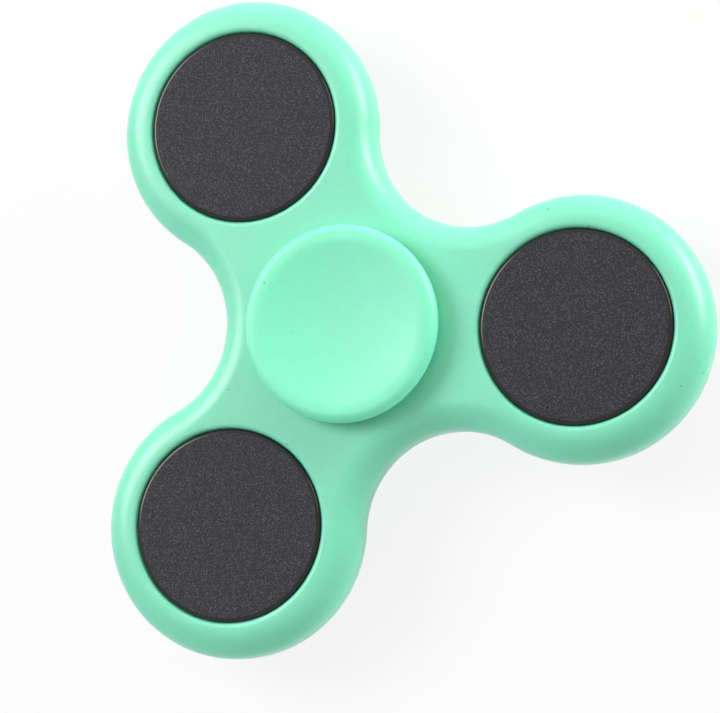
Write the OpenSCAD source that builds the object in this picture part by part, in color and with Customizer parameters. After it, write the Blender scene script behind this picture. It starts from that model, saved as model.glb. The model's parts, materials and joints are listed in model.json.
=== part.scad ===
// Tri-lobe fidget spinner: a moulded body turns on a shielded ball bearing held between two caps.
// Z is the spin axis, the origin is in the middle plane of the body, and lobe 1 lies on +X.

/* [Body] */
// Distance from the spin axis to the middle of each lobe
lobe_pitch = 26.4; // [26.2:0.1:28]
// Outer radius of each lobe
lobe_radius = 15.1; // [15:0.1:16]
// Thickness of the body
body_thickness = 7.6; // [7.4:0.1:8]
// Rounding of the body's outer edges
edge_rounding = 3.2; // [1:0.1:3.2]
// Rounding at the mouth of each weight bore
mouth_rounding = 0.6; // [0.2:0.1:0.7]
// Width of the lip that stops the bearing at the front of its seat
seat_lip = 0.8; // [0.5:0.1:1]
// Rounding at both mouths of the bearing seat
seat_rounding = 0.3; // [0.1:0.1:0.3]

/* [Weights] */
// Diameter of the three weight bores
weight_bore = 22; // [20:0.1:22]
// Height of the stop rib round the middle of a weight bore
stop_rib_height = 0.45; // [0.3:0.05:0.5]
// Width of the stop rib
stop_rib_width = 1.2; // [0.8:0.1:1.6]
// How far a cover stands above the body's face
cover_proud = 0; // [0:0.1:0.4]
// Thickness of a cover's face
cover_face = 1.2; // [0.8:0.1:1.6]
// Thickness of a cover's skirt
cover_skirt = 0.8; // [0.7:0.1:1]
// Rounding of a cover's rim
cover_rounding = 0.5; // [0.3:0.1:0.7]

/* [Caps] */
// Diameter of a cap
cap_diameter = 22.4; // [20:0.1:23]
// Height of the shoulder that holds a cap clear of the bearing and the body
shoulder_height = 1.3; // [1:0.1:1.6]
// Thickness of a cap at its rim
cap_thickness = 2.2; // [2:0.1:3]
// Rounding of a cap's rim
cap_rounding = 1; // [0.6:0.1:1]
// Width of the flat land between the rim and the finger dish
dish_land = 0.4; // [0.2:0.1:0.8]
// Depth of the finger dish in a cap
dish_depth = 0.8; // [0.4:0.1:1]
// Share of the dish's radius that its rounded edge takes
dish_edge = 0.08; // [0.04:0.02:0.2]
// Diameter of the shoulder that seats on the bearing's inner ring
cap_shoulder = 11; // [10:0.1:11]
// Wall of the hollow stem that is pressed into the bearing
stem_wall = 1.6; // [1.2:0.1:2]

/* [Bearing] */
// Outer diameter of the bearing
bearing_outer = 22; // [21.8:0.1:22]
// Bore of the bearing
bearing_bore = 8; // [7.8:0.1:8]
// Width of the bearing
bearing_width = 7; // [7:0.1:7.2]
// Diameter of a ball
ball_diameter = 3.969; // [3.9:0.001:3.969]
// Diameter of the circle through the ball centres
ball_circle = 15; // [15:0.05:15.1]
// Number of balls
ball_count = 7; // [5:1:7]
// Play between a ball and each race
race_play = 0.03; // [0.02:0.01:0.05]
// Thickness of the pressed sheet of the cage
cage_sheet = 0.4; // [0.3:0.05:0.45]
// Thickness of the shields
shield_sheet = 0.3; // [0.2:0.05:0.3]

/* [Hidden] */
$fn = 96;
// Overshoot of a cut past the face that it opens
past = 1;
// Radial room of a press fit and of a loose fit
press_room = 0.02;
loose_room = 0.05;

lobe_count = 3;
lobe_step = 360 / lobe_count;
half_body = body_thickness / 2;
half_bearing = bearing_width / 2;
// The bearing sits against the front lip and ends flush with the rear face
bearing_height = half_bearing - half_body;

// Lobe and waist centres take turns at the corners of a regular hexagon, so that their arcs meet smoothly
waist_radius = lobe_pitch - lobe_radius;
corner_angle = 120;

bore_radius = weight_bore / 2;
cover_radius = bore_radius - press_room;
cover_top = half_body + cover_proud;
cover_under = cover_top - cover_face;
cover_foot = stop_rib_width / 2 + loose_room;
cover_lead = 0.3;
weight_radius = bore_radius - cover_skirt - 6 * loose_room;
weight_half = cover_under - loose_room;
weight_chamfer = 0.4;

cap_radius = cap_diameter / 2;
cap_under = half_bearing + shoulder_height;
cap_top = cap_under + cap_thickness;
dish_radius = cap_radius - cap_rounding - dish_land;
dish_floor = cap_top - dish_depth;
// The dish is a hollow arc and the round arc of its edge, which meet smoothly: their radii add up to this
dish_arcs = (dish_radius ^ 2 + dish_depth ^ 2) / (2 * dish_depth);
stem_radius = bearing_bore / 2 - press_room;
stem_foot = 0.1;
stem_lead = 0.4;
stem_hollow_top = cap_under - 0.2;

// Races have a groove a little wider than the ball
groove_radius = 0.53 * ball_diameter;
inner_groove = ball_circle / 2 - ball_diameter / 2 - race_play + groove_radius;
outer_groove = ball_circle / 2 + ball_diameter / 2 + race_play - groove_radius;
race_height = 0.35 * ball_diameter;
inner_land = ball_circle / 2 - race_height;
outer_land = ball_circle / 2 + race_height;
ring_chamfer = 0.3;

// A shield is a washer whose bent rim sits in a groove of the outer ring
land_half = 2.35;
shield_top = half_bearing - 0.45;
shield_rim_foot = land_half + 2 * loose_room;
shield_groove_top = shield_top - 0.1;
shield_mouth = outer_land + 0.5;
shield_groove = shield_mouth + 0.35;
shield_inner = inner_land - 0.05;
inner_step = shield_inner - 0.25;

// The cage is two wavy rings riveted together between the balls
cage_pocket = ball_diameter / 2 + 0.065;
cage_half_width = 0.95;
rivet_shank = 0.3;
rivet_head = 0.55;
rivet_head_height = 0.25;

mint = [0.55, 0.93, 0.78];
black = [0.26, 0.25, 0.27];
steel = [0.78, 0.79, 0.8];
dull_steel = [0.62, 0.6, 0.55];

function numbered(name, count) = [for (k = [1 : count]) str(name, "_", k)];
function on_circle(radius, angle) = [radius * cos(angle), radius * sin(angle)];
function ball_angle(k) = 360 / ball_count * (k - 1);
function lobe_angle(k) = lobe_step * (k - 1);

// Placing in a coarse and a fine step keeps the faces where lobes and web meet exactly together
module at_corner(angle) {
  place = on_circle(lobe_pitch, angle);
  coarse = [for (c = place) round(c)];
  translate(coarse) translate(place - coarse) children();
}

module at_lobe(k) {
  at_corner(lobe_angle(k)) children();
}

// A child and its mirror image below the middle plane
module both_sides_flat() {
  children();
  mirror([0, 1]) children();
}

// The rear piece of a pair is the front one turned over
module turned_over() {
  rotate([180, 0, 0]) children();
}

// The bearing and the caps are drawn about the middle of the bearing
module at_bearing() {
  translate([0, 0, bearing_height]) children();
}

// Half section of a disc from the axis outwards, with rounded outer edges
module rounded_disc_section(radius, low, high, rounding) {
  translate([0, low]) square([radius - rounding, high - low]);
  translate([0, low + rounding]) square([radius, high - low - 2 * rounding]);
  for (z = [low + rounding, high - rounding]) {
    translate([radius - rounding, z]) circle(rounding);
  }
}

// Half section of a ring with chamfered corners
module ring_section(inner, outer, half, chamfer) {
  polygon([
    [inner, -half + chamfer], [inner + chamfer, -half],
    [outer - chamfer, -half], [outer, -half + chamfer],
    [outer, half - chamfer], [outer - chamfer, half],
    [inner + chamfer, half], [inner, half - chamfer]
  ]);
}

// Half section of the rounded mouth of a bore in the front face of the body
module mouth_section(radius, rounding) {
  difference() {
    translate([0, half_body - rounding]) square([radius + rounding, rounding + past]);
    translate([radius + rounding, half_body - rounding]) circle(rounding);
  }
}

// Half section of the cut that leaves a waist with rounded edges
module waist_section() {
  straight = half_body - edge_rounding;
  difference() {
    translate([0, -half_body - past]) {
      square([waist_radius + edge_rounding, body_thickness + 2 * past]);
    }
    translate([waist_radius, -straight]) square([edge_rounding, 2 * straight]);
    for (z = [-straight, straight]) {
      translate([waist_radius + edge_rounding, z]) circle(edge_rounding);
    }
  }
}

// The middle of the body: a hexagonal plate cut back round the waist centres
module web() {
  difference() {
    cylinder(r = lobe_pitch, h = body_thickness, center = true, $fn = 2 * lobe_count);
    for (k = [1 : lobe_count]) {
      at_corner(lobe_angle(k + 0.5)) rotate_extrude() waist_section();
    }
  }
}

// The rest of a lobe, outside the hexagon
module lobe(k) {
  at_lobe(k) rotate_extrude(start = lobe_angle(k) - corner_angle, angle = 2 * corner_angle) {
    rounded_disc_section(lobe_radius, -half_body, half_body, edge_rounding);
  }
}

// A through bore with a stop rib round its middle
module weight_bore_cut() {
  rotate_extrude() {
    translate([0, -half_body]) square([bore_radius - stop_rib_height, body_thickness]);
    both_sides_flat() {
      translate([0, stop_rib_width / 2]) square([bore_radius, half_body - stop_rib_width / 2]);
      mouth_section(bore_radius, mouth_rounding);
    }
  }
}

// The seat is open at the rear and has a thin lip at the front
module bearing_seat_cut() {
  seat_radius = bearing_outer / 2 + press_room;
  lip_radius = bearing_outer / 2 - seat_lip;
  rotate_extrude() {
    translate([0, -half_body]) square([seat_radius, bearing_width]);
    translate([0, -half_body]) square([lip_radius, body_thickness]);
    mouth_section(lip_radius, seat_rounding);
    mirror([0, 1]) mouth_section(seat_radius, seat_rounding);
  }
}

module body() {
  color(mint) difference() {
    union() {
      web();
      for (k = [1 : lobe_count]) lobe(k);
    }
    bearing_seat_cut();
    for (k = [1 : lobe_count]) at_lobe(k) weight_bore_cut();
  }
}

module bearing_outer_ring() {
  color(steel) rotate_extrude() difference() {
    ring_section(outer_land, bearing_outer / 2, half_bearing, ring_chamfer);
    translate([outer_groove, 0]) circle(groove_radius);
    both_sides_flat() {
      translate([outer_land - past, land_half]) {
        square([shield_mouth - outer_land + past, half_bearing]);
      }
      translate([outer_land - past, land_half]) {
        square([shield_groove - outer_land + past, shield_groove_top - land_half]);
      }
    }
  }
}

module bearing_inner_ring() {
  color(steel) rotate_extrude() difference() {
    ring_section(bearing_bore / 2, inner_land, half_bearing, ring_chamfer);
    translate([inner_groove, 0]) circle(groove_radius);
    both_sides_flat() {
      translate([inner_step, land_half]) square([inner_land, half_bearing]);
    }
  }
}

module ball(k) {
  color(steel) translate(on_circle(ball_circle / 2, ball_angle(k))) sphere(d = ball_diameter);
}

// One wavy ring of the cage: flat between the balls, bulged round each ball
module cage_half() {
  middle = ball_circle / 2;
  color(dull_steel) difference() {
    intersection() {
      union() {
        cylinder(r = middle + 2 * cage_half_width, h = cage_sheet);
        for (k = [1 : ball_count]) {
          translate(on_circle(middle, ball_angle(k))) sphere(cage_pocket + cage_sheet);
        }
      }
      rotate_extrude() translate([middle - cage_half_width, 0]) {
        square([2 * cage_half_width, ball_diameter]);
      }
    }
    for (k = [1 : ball_count]) {
      translate(on_circle(middle, ball_angle(k))) sphere(cage_pocket);
      translate(on_circle(middle, ball_angle(k + 0.5))) {
        cylinder(r = rivet_shank + press_room, h = 4 * cage_sheet, center = true);
      }
    }
  }
}

module cage_rivets() {
  color(steel) for (k = [1 : ball_count]) {
    translate(on_circle(ball_circle / 2, ball_angle(k + 0.5))) rotate_extrude() {
      translate([0, -cage_sheet - rivet_head_height / 2]) {
        square([rivet_shank, 2 * cage_sheet + rivet_head_height]);
      }
      both_sides_flat() translate([0, cage_sheet]) square([rivet_head, rivet_head_height]);
    }
  }
}

module bearing_shield() {
  bent = shield_groove - shield_mouth;
  color(steel) rotate_extrude() {
    translate([shield_inner, shield_top - shield_sheet]) {
      square([shield_mouth - loose_room - shield_inner, shield_sheet]);
    }
    translate([shield_mouth - bent, shield_rim_foot]) {
      square([2 * bent - loose_room, shield_groove_top - loose_room - shield_rim_foot]);
    }
  }
}

// Half section of the finger dish, open at the top
module dish_section() {
  edge_width = dish_edge * dish_radius;
  edge_arc = dish_edge * dish_arcs;
  hollow_radius = dish_radius - edge_width;
  hollow_arc = dish_arcs - edge_arc;
  opening = dish_depth + past;
  intersection() {
    translate([0, dish_floor + hollow_arc]) circle(hollow_arc);
    translate([0, dish_floor]) square([hollow_radius, opening]);
  }
  difference() {
    translate([hollow_radius, dish_floor]) square([edge_width, opening]);
    translate([dish_radius, cap_top - edge_arc]) circle(edge_arc);
  }
}

// A finger cap: dished flange, shoulder on the inner ring, hollow stem in the bearing's bore
module cap() {
  color(mint) rotate_extrude() difference() {
    union() {
      rounded_disc_section(cap_radius, cap_under, cap_top, cap_rounding);
      translate([0, half_bearing]) square([cap_shoulder / 2, cap_thickness]);
      polygon([
        [0, stem_foot], [stem_radius - stem_lead / 2, stem_foot],
        [stem_radius, stem_foot + stem_lead], [stem_radius, cap_under], [0, cap_under]
      ]);
    }
    dish_section();
    translate([0, stem_foot - past]) square([stem_radius - stem_wall, stem_hollow_top - stem_foot + past]);
  }
}

module counterweight() {
  color(steel) rotate_extrude() intersection() {
    ring_section(-weight_radius, weight_radius, weight_half, weight_chamfer);
    translate([0, -weight_half]) square([weight_radius, 2 * weight_half]);
  }
}

// A pressed-in cover: a shallow cup with a rounded rim that stands on the stop rib
module weight_cover() {
  color(black) rotate_extrude() difference() {
    union() {
      translate([0, cover_top - cover_face]) square([cover_radius - cover_rounding, cover_face]);
      translate([cover_radius - cover_rounding, cover_top - cover_rounding]) circle(cover_rounding);
      polygon([
        [0, cover_foot], [cover_radius - cover_lead, cover_foot],
        [cover_radius, cover_foot + cover_lead], [cover_radius, cover_top - cover_rounding],
        [0, cover_top - cover_rounding]
      ]);
    }
    translate([0, cover_foot - past]) {
      square([cover_radius - cover_skirt, cover_under - cover_foot + past]);
    }
  }
}

body();
at_bearing() bearing_outer_ring();
at_bearing() bearing_inner_ring();
for (k = [1 : ball_count]) {
  at_bearing() ball(k);
}
at_bearing() cage_half();  // cage_front_half
at_bearing() turned_over() cage_half();  // cage_rear_half
at_bearing() cage_rivets();
at_bearing() bearing_shield();  // bearing_shield_front
at_bearing() turned_over() bearing_shield();  // bearing_shield_rear
at_bearing() cap();  // front_cap
at_bearing() turned_over() cap();  // rear_cap
for (k = [1 : lobe_count]) {
  at_lobe(k) counterweight();
  at_lobe(k) weight_cover();
  at_lobe(k) turned_over() weight_cover();
}
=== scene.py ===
"""Looks of a tri-lobe fidget spinner: mint body and caps, black grained weight covers, steel bearing."""

import json
from math import asin, cos, degrees, pi, radians, sin

import bmesh
import bpy
from mathutils import Matrix, Vector


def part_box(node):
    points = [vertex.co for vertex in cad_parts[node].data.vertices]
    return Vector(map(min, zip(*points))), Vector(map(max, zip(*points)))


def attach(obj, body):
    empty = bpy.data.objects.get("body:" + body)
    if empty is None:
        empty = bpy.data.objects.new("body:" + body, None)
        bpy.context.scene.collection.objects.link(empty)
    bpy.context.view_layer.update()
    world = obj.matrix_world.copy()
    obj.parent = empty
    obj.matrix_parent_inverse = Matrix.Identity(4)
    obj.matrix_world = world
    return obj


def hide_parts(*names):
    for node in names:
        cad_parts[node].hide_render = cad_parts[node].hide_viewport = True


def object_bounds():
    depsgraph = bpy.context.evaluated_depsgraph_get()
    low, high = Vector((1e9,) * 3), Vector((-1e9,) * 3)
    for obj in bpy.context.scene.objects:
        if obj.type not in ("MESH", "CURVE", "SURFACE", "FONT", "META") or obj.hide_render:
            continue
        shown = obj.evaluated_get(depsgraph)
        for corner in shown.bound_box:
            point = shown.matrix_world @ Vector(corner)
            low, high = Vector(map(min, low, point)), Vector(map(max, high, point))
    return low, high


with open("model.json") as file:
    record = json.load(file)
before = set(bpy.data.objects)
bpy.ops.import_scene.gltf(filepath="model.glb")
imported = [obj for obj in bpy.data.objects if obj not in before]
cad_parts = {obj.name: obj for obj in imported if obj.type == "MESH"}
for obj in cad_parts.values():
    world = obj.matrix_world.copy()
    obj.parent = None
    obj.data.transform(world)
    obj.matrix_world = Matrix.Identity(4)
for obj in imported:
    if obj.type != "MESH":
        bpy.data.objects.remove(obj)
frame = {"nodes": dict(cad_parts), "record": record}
cad_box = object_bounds()

MM = 0.001
FRONT, REAR = 1, -1
LOBES = (1, 2, 3)

# Driving sizes, read from the solids
LOBE_PITCH = (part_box("weight_cover_front_1")[0].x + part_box("weight_cover_front_1")[1].x) / 2
LOBE_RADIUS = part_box("body")[1].x - LOBE_PITCH
BODY_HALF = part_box("body")[1].z
BEARING_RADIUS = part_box("bearing_outer_ring")[1].x
BEARING_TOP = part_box("bearing_outer_ring")[1].z
BEARING_MIDDLE = (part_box("bearing_outer_ring")[0].z + BEARING_TOP) / 2
COVER_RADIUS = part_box("weight_cover_front_1")[1].x - LOBE_PITCH
COVER_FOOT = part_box("weight_cover_front_1")[0].z
COVER_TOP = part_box("weight_cover_front_1")[1].z
CAP_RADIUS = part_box("front_cap")[1].x
CAP_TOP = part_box("front_cap")[1].z
STEM_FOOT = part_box("front_cap")[0].z

# Roundings and inner sizes of the moulded pieces
EDGE_ROUND = 3.2 * MM
MOUTH_ROUND = 0.6 * MM
SEAT_ROUND = 0.3 * MM
SEAT_LIP = 0.8 * MM
PRESS_ROOM = 0.02 * MM
RIB_HALF = 0.6 * MM
RIB_HEIGHT = 0.45 * MM
PARTING_HALF = 0.08 * MM
PARTING_DEPTH = 0.04 * MM
COVER_ROUND = 0.5 * MM
COVER_FACE = 1.2 * MM
COVER_SKIRT = 0.8 * MM
COVER_LEAD = 0.3 * MM
CAP_ROUND = 1.0 * MM
CAP_THICKNESS = 2.2 * MM
DISH_LAND = 0.4 * MM
DISH_DEPTH = 0.8 * MM
DISH_EDGE_SHARE = 0.08
CAP_SHOULDER = 5.5 * MM
STEM_RADIUS = 3.98 * MM
STEM_WALL = 1.6 * MM
STEM_LEAD = 0.4 * MM
STEM_ROOF = 0.2 * MM

# Lobe and waist centres take turns at a hexagon's corners, and the outer edge turns by these degrees at each
CORNERS = 6
LOBE_START = -120
LOBE_SWEEP = 240
WAIST_SWEEP = -120

# Steps and tolerances of the turned and swept shapes
ROUND_STEPS = 12
DISH_STEPS = 24
TURN_STEPS = 144
LOBE_STEPS = 96
WAIST_STEPS = 48
SHARP_ANGLE = radians(25)
MERGE_DISTANCE = 0.002 * MM
SHORTEST_EDGE = 0.0005 * MM
LEVEL_NORMAL = 0.999

# Sizes of the patterns in the plastics, in millimetres
FLOW_CLOUD = 9.0
HANDLING_SMEAR = 5.0
SPECK_SPACING = 3.2
SPECK_EDGE = 0.16
SPECK_CORE = 0.096
RIM_WEAR = 0.6

# These real patterns are too fine to show in the render, so they are drawn coarser, also in millimetres
SATIN_GRAIN = 0.4
PIT_GRAIN = 0.13
STEEL_GRAIN = 0.2

# Depths of the satin and of the pits
SATIN_DEPTH = 0.02 * MM
PIT_DEPTH = 0.05 * MM

# View of the photograph, which is 720 by 713 pixels
VIEW_TARGET = Vector((0.72, -3.19, 0.2)) * MM
VIEW_AZIMUTH = 72.52
VIEW_ELEVATION = 72.76
VIEW_ROLL = -71.34
VIEW_DISTANCE = 352.6 * MM
VIEW_LENS = 155.0
NEAREST_SEEN = 10 * MM

# Lamps all stand at one distance in metres, and the room adds a dim light of its own
LAMP_DISTANCE = 0.6
ROOM_LIGHT = 0.23

# Reach of the floor in metres, and the distances in millimetres over which it fades into the white room
FLOOR_REACH = 4.0
FADE_START = 90.0
FADE_END = 350.0
FLOOR_GLOW = 0.85


def srgb(hex_colour):
    """A six-digit sRGB hex colour as linear red, green, blue and alpha."""
    parts = [int(hex_colour[k:k + 2], 16) / 255 for k in (1, 3, 5)]
    return tuple(c / 12.92 if c <= 0.04045 else ((c + 0.055) / 1.055) ** 2.4 for c in parts) + (1.0,)


def node(tree, kind, inputs=None, **settings):
    """Adds a node with its settings. An input given as a socket is linked, any other value is set."""
    made = tree.nodes.new(kind)
    for name, value in settings.items():
        setattr(made, name, value)
    for name, value in (inputs or {}).items():
        if isinstance(value, bpy.types.NodeSocket):
            tree.links.new(value, made.inputs[name])
        else:
            made.inputs[name].default_value = value
    return made


def new_material(name):
    """An empty material with its tree, its output and the object coordinates in millimetres."""
    material = bpy.data.materials.new(name)
    material.use_nodes = True
    tree = material.node_tree
    tree.nodes.clear()
    output = node(tree, "ShaderNodeOutputMaterial")
    place = node(tree, "ShaderNodeTexCoord").outputs["Object"]
    in_mm = node(tree, "ShaderNodeMapping", {"Vector": place, "Scale": (1 / MM, 1 / MM, 1 / MM)})
    return material, tree, output, in_mm.outputs["Vector"]


def mint_abs(name, pale, deep, smooth, rough):
    """Mint ABS, moulded with a satin finish. Light enters about a millimetre, so shadows stay green.
    Flow clouds and handling smears vary the colour and gloss, and a few specks are burnt resin."""
    material, tree, output, mm = new_material(name)
    clouds = node(tree, "ShaderNodeTexNoise", {"Vector": mm, "Scale": 1 / FLOW_CLOUD, "Detail": 3.0})
    colour = node(tree, "ShaderNodeMix", {
        "Factor": clouds.outputs["Fac"], "A": srgb(deep), "B": srgb(pale),
    }, data_type="RGBA")
    specks = node(tree, "ShaderNodeTexVoronoi", {
        "Vector": mm, "Scale": 1 / SPECK_SPACING, "Randomness": 1.0,
    })
    burnt = node(tree, "ShaderNodeMapRange", {
        "Value": specks.outputs["Distance"],
        "From Min": SPECK_CORE / SPECK_SPACING,
        "From Max": SPECK_EDGE / SPECK_SPACING,
        "To Min": 0.6,
        "To Max": 0.0,
    })
    specked = node(tree, "ShaderNodeMix", {
        "Factor": burnt.outputs["Result"], "A": colour.outputs["Result"], "B": srgb("#2f5d49"),
    }, data_type="RGBA")
    smears = node(tree, "ShaderNodeTexNoise", {
        "Vector": mm, "Scale": 1 / HANDLING_SMEAR, "Detail": 4.0, "Distortion": 0.8,
    })
    gloss = node(tree, "ShaderNodeMapRange", {
        "Value": smears.outputs["Fac"], "From Min": 0.3, "From Max": 0.7, "To Min": smooth, "To Max": rough,
    })
    satin = node(tree, "ShaderNodeTexNoise", {"Vector": mm, "Scale": 1 / SATIN_GRAIN, "Detail": 2.0})
    bump = node(tree, "ShaderNodeBump", {
        "Height": satin.outputs["Fac"], "Strength": 0.1, "Distance": SATIN_DEPTH,
    })
    shader = node(tree, "ShaderNodeBsdfPrincipled", {
        "Base Color": specked.outputs["Result"],
        "Roughness": gloss.outputs["Result"],
        "IOR": 1.53,
        "Specular IOR Level": 0.4,
        "Subsurface Weight": 1.0,
        "Subsurface Radius": (0.15, 1.0, 0.5),
        "Subsurface Scale": 1.2 * MM,
        "Coat Weight": 0.9,
        "Coat Roughness": 0.5,
        "Normal": bump.outputs["Normal"],
    })
    tree.links.new(shader.outputs["BSDF"], output.inputs["Surface"])
    return material


def black_grained():
    """Black ABS from a spark-eroded mould: a matt grain of fine pits, with painted highlights, small light
    grey dots in the base colour that stand in for glints off the pits.
    """
    material, tree, output, mm = new_material("black_grained_abs")
    pits = node(tree, "ShaderNodeTexVoronoi", {"Vector": mm, "Scale": 1 / PIT_GRAIN, "Randomness": 1.0})
    bump = node(tree, "ShaderNodeBump", {
        "Height": pits.outputs["Distance"], "Strength": 0.8, "Distance": PIT_DEPTH,
    }, invert=True)
    chance = node(tree, "ShaderNodeSeparateColor", {"Color": pits.outputs["Color"]})
    # Painted highlights: some pits get a light grey dot mixed into the dark base colour as a painted glint.
    painted_glint_cells = node(tree, "ShaderNodeMapRange", {
        "Value": chance.outputs["Red"], "From Min": 0.3, "From Max": 1.0,
    }, interpolation_type="SMOOTHSTEP")
    painted_glint_dot = node(tree, "ShaderNodeMapRange", {
        "Value": pits.outputs["Distance"], "From Min": 0.25, "From Max": 0.5, "To Min": 1.0, "To Max": 0.0,
    })
    painted_glint = node(tree, "ShaderNodeMath", {
        0: painted_glint_cells.outputs["Result"], 1: painted_glint_dot.outputs["Result"],
    }, operation="MULTIPLY")
    colour = node(tree, "ShaderNodeMix", {
        "Factor": painted_glint.outputs["Value"], "A": srgb("#0c0914"), "B": srgb("#656266"),
    }, data_type="RGBA")
    gloss = node(tree, "ShaderNodeMapRange", {
        "Value": chance.outputs["Green"], "To Min": 0.45, "To Max": 0.72,
    })
    shader = node(tree, "ShaderNodeBsdfPrincipled", {
        "Base Color": colour.outputs["Result"],
        "Roughness": gloss.outputs["Result"],
        "IOR": 1.53,
        "Specular IOR Level": 0.33,
        "Normal": bump.outputs["Normal"],
    })
    tree.links.new(shader.outputs["BSDF"], output.inputs["Surface"])
    return material


def black_polished():
    """The same black ABS where the mould was smoothed: a dark rim with a narrow, soft glint."""
    material, tree, output, mm = new_material("black_polished_abs")
    wear = node(tree, "ShaderNodeTexNoise", {"Vector": mm, "Scale": 1 / RIM_WEAR, "Detail": 3.0})
    gloss = node(tree, "ShaderNodeMapRange", {"Value": wear.outputs["Fac"], "To Min": 0.09, "To Max": 0.2})
    shader = node(tree, "ShaderNodeBsdfPrincipled", {
        "Base Color": srgb("#0b0b0c"),
        "Roughness": gloss.outputs["Result"],
        "IOR": 1.53,
        "Specular IOR Level": 0.36,
    })
    tree.links.new(shader.outputs["BSDF"], output.inputs["Surface"])
    return material


def steel(name, hex_colour, roughness):
    """Bearing steel: bright, neutral metal whose fine finish breaks the highlight up a little."""
    material, tree, output, mm = new_material(name)
    finish = node(tree, "ShaderNodeTexNoise", {"Vector": mm, "Scale": 1 / STEEL_GRAIN, "Detail": 2.0})
    gloss = node(tree, "ShaderNodeMapRange", {
        "Value": finish.outputs["Fac"], "To Min": roughness * 0.8, "To Max": roughness * 1.2,
    })
    shader = node(tree, "ShaderNodeBsdfPrincipled", {
        "Base Color": srgb(hex_colour),
        "Metallic": 1.0,
        "Roughness": gloss.outputs["Result"],
    })
    tree.links.new(shader.outputs["BSDF"], output.inputs["Surface"])
    return material


def pen_line(bm, vert, *points):
    """Draws straight profile edges from vert through points given as (x, z) and returns the last end."""
    for x, z in points:
        vert = bmesh.ops.extrude_vert_indiv(bm, verts=[vert])["verts"][0]
        vert.co = Vector((x, 0, z))
    return vert


def pen_arc(bm, vert, x, z, turn, steps=ROUND_STEPS):
    """Draws a profile arc from vert about (x, z) by turn degrees, anticlockwise with x right and z up."""
    swept = bmesh.ops.spin(
        bm, geom=[vert], cent=(x, 0, z), axis=(0, -1, 0), angle=radians(turn), steps=steps, use_merge=False)
    return next(g for g in swept["geom_last"] if isinstance(g, bmesh.types.BMVert))


def turn_full(bm, geom, centre):
    """Turns a profile right round an upright axis and closes the seam."""
    bmesh.ops.spin(
        bm, geom=geom, cent=centre, axis=(0, 0, 1), angle=2 * pi, steps=TURN_STEPS, use_merge=True)


def turn_new(bm, before, centre):
    """Moves the profile drawn since before to an upright axis and turns it right round."""
    drawn = [g for g in bm.verts[:] + bm.edges[:] if g not in before]
    bmesh.ops.translate(bm, vec=centre, verts=[g for g in drawn if isinstance(g, bmesh.types.BMVert)])
    turn_full(bm, drawn, centre)


def turn_over(bm, side, height):
    """Turns a front piece over, about a line at that height, for the rear."""
    if side == REAR:
        bmesh.ops.rotate(bm, verts=bm.verts[:], cent=(0, 0, height), matrix=Matrix.Rotation(pi, 3, "X"))


def close_mesh(bm):
    """Merges seams and poles and turns all faces outwards."""
    bmesh.ops.remove_doubles(bm, verts=bm.verts[:], dist=MERGE_DISTANCE)
    bmesh.ops.dissolve_degenerate(bm, edges=bm.edges[:], dist=SHORTEST_EDGE)
    bmesh.ops.recalc_face_normals(bm, faces=bm.faces[:])


def piece(name, bm, materials, body, replaced):
    """Makes a smooth object of the mesh, rides it on its body and stands it in for its solid."""
    for face in bm.faces:
        face.smooth = True
    mesh = bpy.data.meshes.new(name)
    bm.to_mesh(mesh)
    bm.free()
    mesh.set_sharp_from_angle(angle=SHARP_ANGLE)
    for material in materials:
        mesh.materials.append(material)
    made = bpy.data.objects.new(name, mesh)
    bpy.context.scene.collection.objects.link(made)
    weighted = made.modifiers.new("flat_faces_stay_flat", "WEIGHTED_NORMAL")
    weighted.keep_sharp = True
    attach(made, body)
    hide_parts(replaced)


def hexagon_corner(corner):
    """A corner, from 0 to 5, of the hexagon on which lobe centres and waist centres take turns."""
    angle = corner * 2 * pi / CORNERS
    return Vector((LOBE_PITCH * cos(angle), LOBE_PITCH * sin(angle), 0))


def lobe_centre(lobe):
    """The middle of lobe 1, 2 or 3."""
    return hexagon_corner(2 * (lobe - 1))


def outer_edge(bm):
    """The rounded outer edge with its parting line, swept about each lobe and waist centre in turn."""
    edge = LOBE_RADIUS - EDGE_ROUND
    straight = BODY_HALF - EDGE_ROUND
    pen = bm.verts.new((edge, 0, -BODY_HALF))
    pen = pen_arc(bm, pen, edge, -straight, 90)
    pen = pen_line(
        bm, pen, (LOBE_RADIUS, -PARTING_HALF), (LOBE_RADIUS - PARTING_DEPTH, 0), (LOBE_RADIUS, PARTING_HALF),
        (LOBE_RADIUS, straight))
    pen_arc(bm, pen, edge, straight, 90)
    start = Matrix.Translation(hexagon_corner(0)) @ Matrix.Rotation(radians(LOBE_START), 4, "Z")
    bmesh.ops.transform(bm, matrix=start, verts=bm.verts[:])
    profile = bm.verts[:] + bm.edges[:]
    for corner in range(CORNERS):
        at_lobe = corner % 2 == 0
        swept = bmesh.ops.spin(
            bm, geom=profile, cent=hexagon_corner(corner), axis=(0, 0, 1), use_merge=False,
            angle=radians(LOBE_SWEEP if at_lobe else WAIST_SWEEP),
            steps=LOBE_STEPS if at_lobe else WAIST_STEPS)
        profile = swept["geom_last"]


def weight_bore(bm, centre):
    """A weight bore: rounded mouths at both faces and a stop rib round the middle."""
    wall = COVER_RADIUS + PRESS_ROOM
    rib = wall - RIB_HEIGHT
    mouth = BODY_HALF - MOUTH_ROUND
    before = set(bm.verts) | set(bm.edges)
    pen = bm.verts.new((wall + MOUTH_ROUND, 0, BODY_HALF))
    pen = pen_arc(bm, pen, wall + MOUTH_ROUND, mouth, 90)
    pen = pen_line(
        bm, pen, (wall, RIB_HALF), (rib, RIB_HALF), (rib, -RIB_HALF), (wall, -RIB_HALF), (wall, -mouth))
    pen_arc(bm, pen, wall + MOUTH_ROUND, -mouth, 90)
    turn_new(bm, before, centre)


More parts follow.
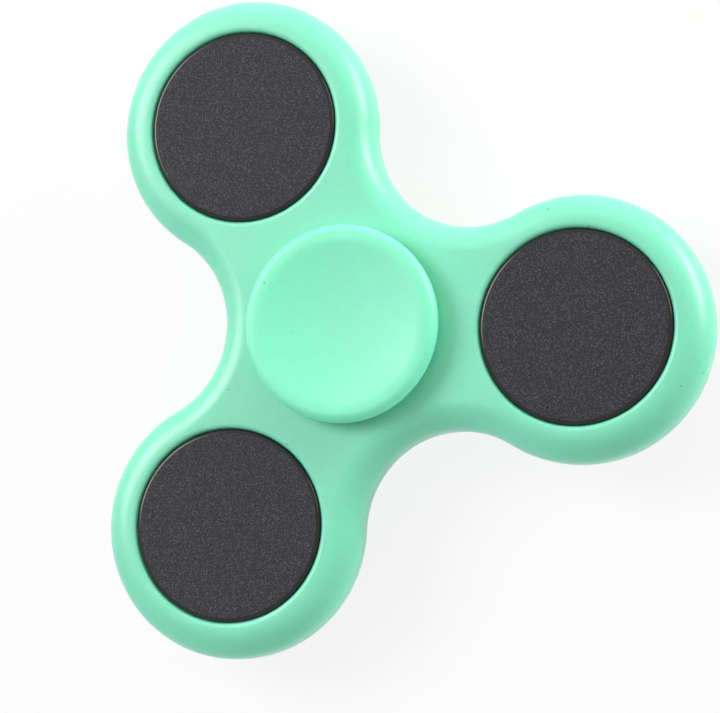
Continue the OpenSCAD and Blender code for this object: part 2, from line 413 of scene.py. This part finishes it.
def bearing_seat(bm):
    """The bearing seat: a thin rounded lip at the front, open and rounded at the rear."""
    lip = BEARING_RADIUS - SEAT_LIP
    wall = BEARING_RADIUS + PRESS_ROOM
    mouth = BODY_HALF - SEAT_ROUND
    before = set(bm.verts) | set(bm.edges)
    pen = bm.verts.new((lip + SEAT_ROUND, 0, BODY_HALF))
    pen = pen_arc(bm, pen, lip + SEAT_ROUND, mouth, 90)
    pen = pen_line(bm, pen, (lip, BEARING_TOP), (wall, BEARING_TOP), (wall, -mouth))
    pen_arc(bm, pen, wall + SEAT_ROUND, -mouth, 90)
    turn_new(bm, before, Vector((0, 0, 0)))


def body_shell():
    """The moulded body: outer edge, bores and seat, joined by the flat faces between them."""
    bm = bmesh.new()
    outer_edge(bm)
    for lobe in LOBES:
        weight_bore(bm, lobe_centre(lobe))
    bearing_seat(bm)
    bmesh.ops.remove_doubles(bm, verts=bm.verts[:], dist=MERGE_DISTANCE)
    for side in (FRONT, REAR):
        rims = [e for e in bm.edges if e.is_boundary and e.verts[0].co.z * side > 0]
        bmesh.ops.triangle_fill(bm, edges=rims, use_beauty=True, normal=(0, 0, side))
    close_mesh(bm)
    piece("body_moulding", bm, [MINT_BODY], "rotor", "body")


def finger_cap(name, side):
    """A finger cap: hollow dish with a soft edge, rounded rim, shoulder on the inner ring and hollow stem."""
    bm = bmesh.new()
    rim = CAP_RADIUS - CAP_ROUND
    opening = rim - DISH_LAND
    # The dish is a hollow arc and the round arc of its edge, which meet smoothly: their radii add up to this
    arcs = (opening ** 2 + DISH_DEPTH ** 2) / (2 * DISH_DEPTH)
    edge = DISH_EDGE_SHARE * arcs
    slope = degrees(asin(opening / arcs))
    under = CAP_TOP - CAP_THICKNESS
    hollow = STEM_RADIUS - STEM_WALL
    pen = bm.verts.new((0, 0, CAP_TOP - DISH_DEPTH))
    pen = pen_arc(bm, pen, 0, CAP_TOP - DISH_DEPTH + arcs - edge, slope, DISH_STEPS)
    pen = pen_arc(bm, pen, opening, CAP_TOP - edge, -slope)
    pen = pen_line(bm, pen, (rim, CAP_TOP))
    pen = pen_arc(bm, pen, rim, CAP_TOP - CAP_ROUND, -90)
    pen = pen_line(bm, pen, (CAP_RADIUS, under + CAP_ROUND))
    pen = pen_arc(bm, pen, rim, under + CAP_ROUND, -90)
    pen_line(
        bm, pen, (CAP_SHOULDER, under), (CAP_SHOULDER, BEARING_TOP), (STEM_RADIUS, BEARING_TOP),
        (STEM_RADIUS, STEM_FOOT + STEM_LEAD), (STEM_RADIUS - STEM_LEAD / 2, STEM_FOOT), (hollow, STEM_FOOT),
        (hollow, under - STEM_ROOF), (0, under - STEM_ROOF))
    turn_full(bm, bm.verts[:] + bm.edges[:], (0, 0, 0))
    close_mesh(bm)
    turn_over(bm, side, BEARING_MIDDLE)
    piece(name + "_moulding", bm, [MINT_CAP_PAINTED_LIGHTER], "hub", name)


def weight_cover(name, lobe, side):
    """A weight cover: grained face, polished rounded rim, skirt down to the stop rib."""
    bm = bmesh.new()
    rim = COVER_RADIUS - COVER_ROUND
    inside = COVER_RADIUS - COVER_SKIRT
    ceiling = COVER_TOP - COVER_FACE
    pen = bm.verts.new((0, 0, COVER_TOP))
    pen = pen_line(bm, pen, (rim, COVER_TOP))
    pen = pen_arc(bm, pen, rim, COVER_TOP - COVER_ROUND, -90)
    pen_line(
        bm, pen, (COVER_RADIUS, COVER_FOOT + COVER_LEAD), (COVER_RADIUS - COVER_LEAD, COVER_FOOT),
        (inside, COVER_FOOT), (inside, ceiling), (0, ceiling))
    turn_full(bm, bm.verts[:] + bm.edges[:], (0, 0, 0))
    close_mesh(bm)
    for face in bm.faces:
        grained = face.normal.z > LEVEL_NORMAL and face.calc_center_median().z > ceiling
        face.material_index = 0 if grained else 1
    turn_over(bm, side, 0)
    bmesh.ops.translate(bm, vec=lobe_centre(lobe), verts=bm.verts[:])
    piece(name + "_moulding", bm, [BLACK_GRAINED, BLACK_POLISHED], "rotor", name)


def camera():
    """Makes the camera at the photograph's angle, distance and roll, and returns how it is turned."""
    azimuth, elevation = radians(VIEW_AZIMUTH), radians(VIEW_ELEVATION)
    back = Vector((sin(azimuth) * cos(elevation), -cos(azimuth) * cos(elevation), sin(elevation)))
    right = Vector((0, 0, 1)).cross(back).normalized()
    upright = Matrix((right, back.cross(right), back)).transposed()
    turned = upright @ Matrix.Rotation(radians(VIEW_ROLL), 3, "Z")
    data = bpy.data.cameras.new("photo_view")
    data.lens = VIEW_LENS
    data.clip_start = NEAREST_SEEN
    made = bpy.data.objects.new("photo_view", data)
    made.matrix_world = Matrix.Translation(VIEW_TARGET + back * VIEW_DISTANCE) @ turned.to_4x4()
    bpy.context.scene.collection.objects.link(made)
    bpy.context.scene.camera = made
    return turned


def soft_box(name, turned, around, forward, width, height, watts, tint="#ffffff", glints=True):
    """A lamp that faces the spinner and stands clear of the floor. Its place is an angle around the line of
    sight, anticlockwise from the right, and an angle forward from there to the camera, both in degrees.
    One without glints only fills, so it puts no glare on the flat faces."""
    data = bpy.data.lights.new(name, "AREA")
    data.shape = "RECTANGLE"
    data.size = width
    data.size_y = height
    data.energy = watts
    data.color = srgb(tint)[:3]
    around, forward = radians(around), radians(forward)
    place = Vector((cos(around) * cos(forward), sin(around) * cos(forward), sin(forward)))
    lamp = bpy.data.objects.new(name, data)
    lamp.location = turned @ place * LAMP_DISTANCE
    lamp.rotation_euler = (-lamp.location).to_track_quat("-Z", "Y").to_euler()
    lamp.visible_glossy = glints
    bpy.context.scene.collection.objects.link(lamp)


def seen_directly(tree):
    """1 for the camera, in a reflection and through something clear, and 0 where a surface only lights."""
    light_path = node(tree, "ShaderNodeLightPath")
    seen = light_path.outputs["Is Camera Ray"]
    for other in ("Is Glossy Ray", "Is Transmission Ray"):
        both = node(tree, "ShaderNodeMath", {0: seen, 1: light_path.outputs[other]}, operation="MAXIMUM")
        seen = both.outputs["Value"]
    return seen


def white_card():
    """Matt white card that takes the shadow, fades into the white room and is clear from below."""
    material, tree, output, mm = new_material("white_card")
    card = node(tree, "ShaderNodeBsdfDiffuse", {"Color": srgb("#f4f4f4")})
    glow = node(tree, "ShaderNodeEmission", {"Color": srgb("#ffffff"), "Strength": 1.0})
    reach = node(tree, "ShaderNodeVectorMath", {0: mm}, operation="LENGTH")
    fade = node(tree, "ShaderNodeMapRange", {
        "Value": reach.outputs["Value"],
        "From Min": FADE_START,
        "From Max": FADE_END,
        "To Min": FLOOR_GLOW,
        "To Max": 1.0,
    }, interpolation_type="SMOOTHSTEP")
    share = node(tree, "ShaderNodeMath", {
        0: seen_directly(tree), 1: fade.outputs["Result"],
    }, operation="MULTIPLY")
    lit = node(tree, "ShaderNodeMixShader", {
        "Fac": share.outputs["Value"], 1: card.outputs["BSDF"], 2: glow.outputs["Emission"],
    })
    below = node(tree, "ShaderNodeNewGeometry").outputs["Backfacing"]
    clear = node(tree, "ShaderNodeBsdfTransparent")
    one_way = node(tree, "ShaderNodeMixShader", {
        "Fac": below, 1: lit.outputs["Shader"], 2: clear.outputs["BSDF"],
    })
    tree.links.new(one_way.outputs["Shader"], output.inputs["Surface"])
    return material


def floor():
    """The pale floor, level with the lowest point of the spinner."""
    bm = bmesh.new()
    bmesh.ops.create_grid(bm, x_segments=1, y_segments=1, size=FLOOR_REACH)
    bmesh.ops.translate(bm, vec=(0, 0, cad_box[0][2]), verts=bm.verts[:])
    mesh = bpy.data.meshes.new("floor")
    bm.to_mesh(mesh)
    bm.free()
    mesh.materials.append(white_card())
    made = bpy.data.objects.new("floor", mesh)
    bpy.context.scene.collection.objects.link(made)


def white_room():
    """A room that looks white and lights the spinner dimly."""
    world = bpy.data.worlds.new("white_room")
    world.use_nodes = True
    tree = world.node_tree
    level = node(tree, "ShaderNodeMapRange", {
        "Value": seen_directly(tree), "To Min": ROOM_LIGHT, "To Max": 1.0,
    })
    background = tree.nodes["Background"]
    background.inputs["Color"].default_value = srgb("#ffffff")
    tree.links.new(level.outputs["Result"], background.inputs["Strength"])
    bpy.context.scene.world = world


MINT_BODY = mint_abs("mint_moulded_abs", "#7de3c3", "#77dfbe", 0.33, 0.41)
# The caps are the body's mint plastic with a satin finish. Their colour is painted a shade lighter than the
# body's, as painted light on the raised caps.
MINT_CAP_PAINTED_LIGHTER = mint_abs("mint_satin_abs_painted_lighter", "#80efcb", "#7aecc7", 0.44, 0.52)
BLACK_GRAINED = black_grained()
BLACK_POLISHED = black_polished()
FINISHES = {
    "mint_plastic": MINT_BODY,
    "black_plastic": BLACK_GRAINED,
    "ring_steel": steel("ground_bearing_steel", "#c9cbcf", 0.22),
    "ball_steel": steel("polished_ball_steel", "#d4d6da", 0.06),
    "cage_steel": steel("pressed_cage_steel", "#a39d91", 0.4),
    "shield_steel": steel("pressed_shield_steel", "#b9bbbf", 0.3),
    "weight_steel": steel("turned_weight_steel", "#8f9196", 0.38),
}

body_shell()
finger_cap("front_cap", FRONT)
finger_cap("rear_cap", REAR)
for lobe in LOBES:
    weight_cover(f"weight_cover_front_{lobe}", lobe, FRONT)
    weight_cover(f"weight_cover_rear_{lobe}", lobe, REAR)

for part in frame["record"]["subparts"]:
    solid = frame["nodes"][part["node"]]
    solid.data.materials.clear()
    solid.data.materials.append(FINISHES[part["material_slot"]])

turned = camera()
soft_box("left_soft_box", turned, 158, 25, 0.30, 0.30, 2.6)
soft_box("right_soft_box", turned, 34, 19.7, 0.36, 0.17, 3.0, "#fffaf2")
soft_box("top_soft_box", turned, 110, 35, 0.90, 0.90, 0.60)
soft_box("rim_soft_box", turned, 90, 10, 0.50, 0.28, 2.2, "#fff1df", glints=False)
soft_box("low_soft_box", turned, -75, 21, 0.60, 0.18, 0.90, glints=False)
floor()
white_room()
bpy.context.scene.view_settings.view_transform = "Standard"
